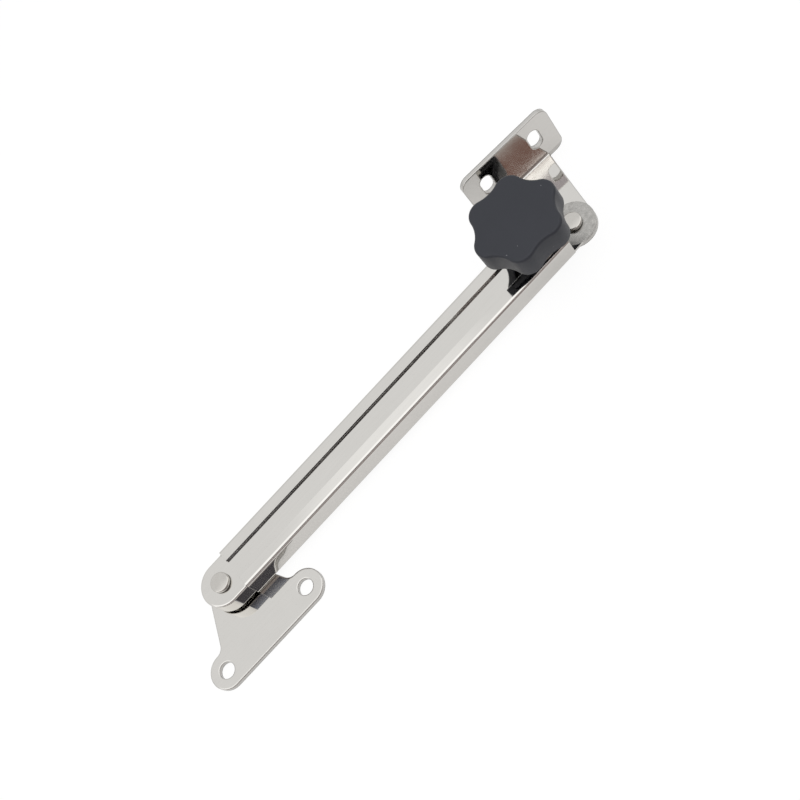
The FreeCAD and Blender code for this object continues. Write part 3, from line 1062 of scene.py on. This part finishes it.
# Turn about the line of view, in degrees, that lines a card's image up with the bracket's fold
FOLD_TURN = -3.3
CARDS = (
    Card("grey_card", "#5E5C62", -420.0, 40.0, -75.5, -3.0),
    Card("dark_card", "#30292D", -420.0, 40.0, -3.0, 8.0, head_colour="#959DB3"),
    Card("dark_card", "#30292D", 40.0, 110.0, -1.5, 8.0),
    Card("brown_card", "#9E7D74", 50.0, 158.0, -28.0, 0.0, turn=FOLD_TURN),
    Card("white_card", "#FFFFFF", 110.0, 210.0, 0.0, 10.0, turn=FOLD_TURN, glow=2.6),
    Card("pale_card", "#DBD5DC", 110.0, 210.0, 10.0, 38.0, turn=FOLD_TURN),
)
# Light of the room by the angle, in degrees, from straight up towards the camera's side
ROOM = (
    (-90.0, (0.72, 0.72, 0.72)),  # far wall, level with the table
    (-45.0, (0.97, 0.97, 0.97)),  # ceiling beyond the lamp
    (-30.0, (0.98, 0.98, 0.98)),
    (-26.0, (1.19, 1.19, 1.19)),
    (-12.0, (1.5, 1.5, 1.5)),  # ceiling lamp
    (27.0, (1.5, 1.5, 1.5)),
    (36.0, (1.0, 0.98, 0.97)),
    (43.0, (0.50, 0.46, 0.45)),
    (50.0, (0.36, 0.31, 0.30)),  # dark wall behind the camera
    (180.0, (0.36, 0.31, 0.30)),
)


def in_mirror(tree: Tree, path: bpy.types.Node) -> Socket:
    """Tells the rays that come from a mirroring or clear surface.

    Args:
        tree: Node tree that takes the node.
        path: Light path node of the tree.

    Returns:
        1 for those rays and 0 for all others.
    """
    return add(tree, "Math", {
        0: path.outputs["Is Glossy Ray"], 1: path.outputs["Is Transmission Ray"]},
        operation="MAXIMUM").outputs[0]


@dataclass
class Studio:
    """White table under a wide soft light, with the dark side of the room behind the camera."""

    floor_size: float = 6000.0
    floor_drop: float = 0.05
    floor_colour: str = "#F4F2F1"
    floor_glow: float = 1.06
    seen_share: float = 0.85
    mirrored_share: float = 0.45
    fill: float = 0.62
    lamp_power: float = 2.6
    lamp_size: float = 900.0
    lamp_place: tuple[float, float, float] = (60.0, -120.0, 900.0)
    lamp_aim: tuple[float, float, float] = (95.0, 25.0, 10.0)

    def build(self, eye: Vector, back: Vector) -> None:
        """Sets the floor, the world, the lamp and the cards.

        Args:
            eye: Camera's place, in metres.
            back: Direction from the object to the camera.
        """
        self.world()
        self.floor()
        self.lamp()
        for item in CARDS:
            item.build(eye, back)

    def world(self) -> None:
        """Lights everything evenly, shows white behind the object, and the room in its metal."""
        world = bpy.data.worlds.new("white_room")
        bpy.context.scene.world = world
        world.use_nodes = True
        tree = world.node_tree
        tree.nodes.clear()
        path = add(tree, "LightPath")
        plain = add(tree, "Mix", {
            "Factor": path.outputs["Is Camera Ray"], "A": (self.fill,) * 3 + (1.0,),
            "B": (1.0, 1.0, 1.0, 1.0)}, data_type="RGBA")
        seen = add(tree, "Mix", {
            "Factor": in_mirror(tree, path), "A": plain.outputs["Result"], "B": self.room(tree)},
            data_type="RGBA")
        light = add(tree, "Background", {"Color": seen.outputs["Result"]})
        add(tree, "OutputWorld", {"Surface": light.outputs[0]})

    def room(self, tree: Tree) -> Socket:
        """Adds the room that polished metal mirrors, from the far wall over the ceiling lamp.

        Args:
            tree: Node tree of the world.

        Returns:
            Colour of the room in each direction.
        """
        way = add(tree, "TexCoord").outputs["Generated"]
        parts = add(tree, "SeparateXYZ", {0: way})
        towards = add(tree, "Math", {0: parts.outputs["Y"], 1: -1.0}, operation="MULTIPLY")
        lean = add(tree, "Math", {0: towards.outputs[0], 1: parts.outputs["Z"]},
                   operation="ARCTAN2")
        first, last = ROOM[0][0], ROOM[-1][0]
        place = add(tree, "MapRange", {
            "Value": lean.outputs[0], "From Min": math.radians(first),
            "From Max": math.radians(last)})
        ramp = add(tree, "ValToRGB", {"Fac": place.outputs["Result"]})
        stops = ramp.color_ramp.elements
        stops.remove(stops[1])
        for index, (angle, colour) in enumerate(ROOM):
            along = (angle - first) / (last - first)
            stop = stops[0] if index == 0 else stops.new(along)
            stop.position = along
            stop.color = (*colour, 1.0)
        return ramp.outputs["Color"]

    def floor(self) -> None:
        """Lays a matte floor that comes out white, keeps a soft shadow and is open from below."""
        mesh = bmesh.new()
        bmesh.ops.create_grid(mesh, x_segments=1, y_segments=1, size=self.floor_size / 2 * MM,
                              matrix=Matrix.Translation((0, 0, -self.floor_drop * MM)))
        material, tree = new_material("matte_white_paper")
        matte = add(tree, "BsdfDiffuse", {"Color": linear(self.floor_colour)})
        glow = add(tree, "Emission", {"Color": linear("#FFFFFF"), "Strength": self.floor_glow})
        path = add(tree, "LightPath")
        mirrored = add(tree, "Math", {
            0: in_mirror(tree, path), 1: self.mirrored_share}, operation="MULTIPLY")
        direct = add(tree, "Math", {
            0: path.outputs["Is Camera Ray"], 1: self.seen_share}, operation="MULTIPLY")
        share = add(tree, "Math", {0: mirrored.outputs[0], 1: direct.outputs[0]},
                    operation="MAXIMUM")
        both = add(tree, "MixShader", {
            0: share.outputs[0], 1: matte.outputs[0], 2: glow.outputs[0]})
        behind = add(tree, "NewGeometry").outputs["Backfacing"]
        under = add(tree, "Math", {0: behind, 1: path.outputs["Is Camera Ray"]},
                    operation="MULTIPLY")
        clear = add(tree, "BsdfTransparent")
        open_below = add(tree, "MixShader", {
            0: under.outputs[0], 1: both.outputs[0], 2: clear.outputs[0]})
        add(tree, "OutputMaterial", {"Surface": open_below.outputs[0]})
        new_object(mesh, "floor", material)

    def lamp(self) -> None:
        """Hangs one wide soft lamp overhead; the metal sees the room's own lamp instead."""
        data = bpy.data.lights.new("ceiling", "AREA")
        data.shape = "DISK"
        data.size = self.lamp_size * MM
        data.energy = self.lamp_power
        lamp = bpy.data.objects.new("ceiling", data)
        place = Vector(self.lamp_place) * MM
        aim = Vector(self.lamp_aim) * MM
        lamp.location = place
        lamp.rotation_euler = (place - aim).to_track_quat("Z", "Y").to_euler()
        lamp.visible_glossy = False
        bpy.context.scene.collection.objects.link(lamp)


@dataclass
class PhotoCamera:
    """Camera at the photograph's viewing angle."""

    target: tuple[float, float, float] = (97.25, 27.506, 0.0)
    distance: float = 548.24
    tilt: float = 33.108
    azimuth: float = -87.227
    roll: float = -4.492
    across: float = -47.1
    focal_pixels: float = 1412.93
    sensor: float = 36.0
    nearest: float = 10.0

    def axes(self) -> tuple[Vector, Vector, Vector]:
        """Works out the camera's axes.

        Returns:
            Unit vectors to the right, up, and back from the object to the camera.
        """
        tilt, azimuth, across, roll = (math.radians(angle) for angle in (
            self.tilt, self.azimuth, self.across, self.roll))
        back = Vector((math.sin(tilt) * math.cos(azimuth), math.sin(tilt) * math.sin(azimuth),
                       math.cos(tilt)))
        level = Vector((math.cos(across), math.sin(across), 0.0))
        right = (level - back * level.dot(back)).normalized()
        up = back.cross(right)
        return (right * math.cos(roll) + up * math.sin(roll),
                up * math.cos(roll) - right * math.sin(roll), back)

    def eye(self) -> Vector:
        """Place of the camera, in metres."""
        return (Vector(self.target) + self.axes()[2] * self.distance) * MM

    def build(self) -> None:
        """Adds the camera and makes it the scene's own."""
        right, up, back = self.axes()
        data = bpy.data.cameras.new("photo_camera")
        data.sensor_fit = "HORIZONTAL"
        data.sensor_width = self.sensor
        data.lens = self.focal_pixels / PHOTO_PIXELS * self.sensor
        data.clip_start = self.nearest * MM
        camera = bpy.data.objects.new("photo_camera", data)
        turn = Matrix((right, up, back)).transposed().to_4x4()
        camera.matrix_world = Matrix.Translation(self.eye()) @ turn
        bpy.context.scene.collection.objects.link(camera)
        bpy.context.scene.camera = camera


def main() -> None:
    """Builds the camera, the sub-assemblies and the studio."""
    logging.basicConfig(level=logging.INFO, format="%(name)s: %(message)s")
    bpy.context.scene.view_settings.view_transform = "Standard"
    camera = PhotoCamera()
    camera.build()
    for part in (MountingEnd(), SlidingArm(), FoldedRail(), LidBracket(), ClampKnob()):
        for piece in part.build():
            log.info("%s: %s, %d faces", type(part).__name__, piece.name,
                     len(piece.data.polygons))
    Studio().build(camera.eye(), camera.axes()[2])


if __name__ == "__main__":
    main()
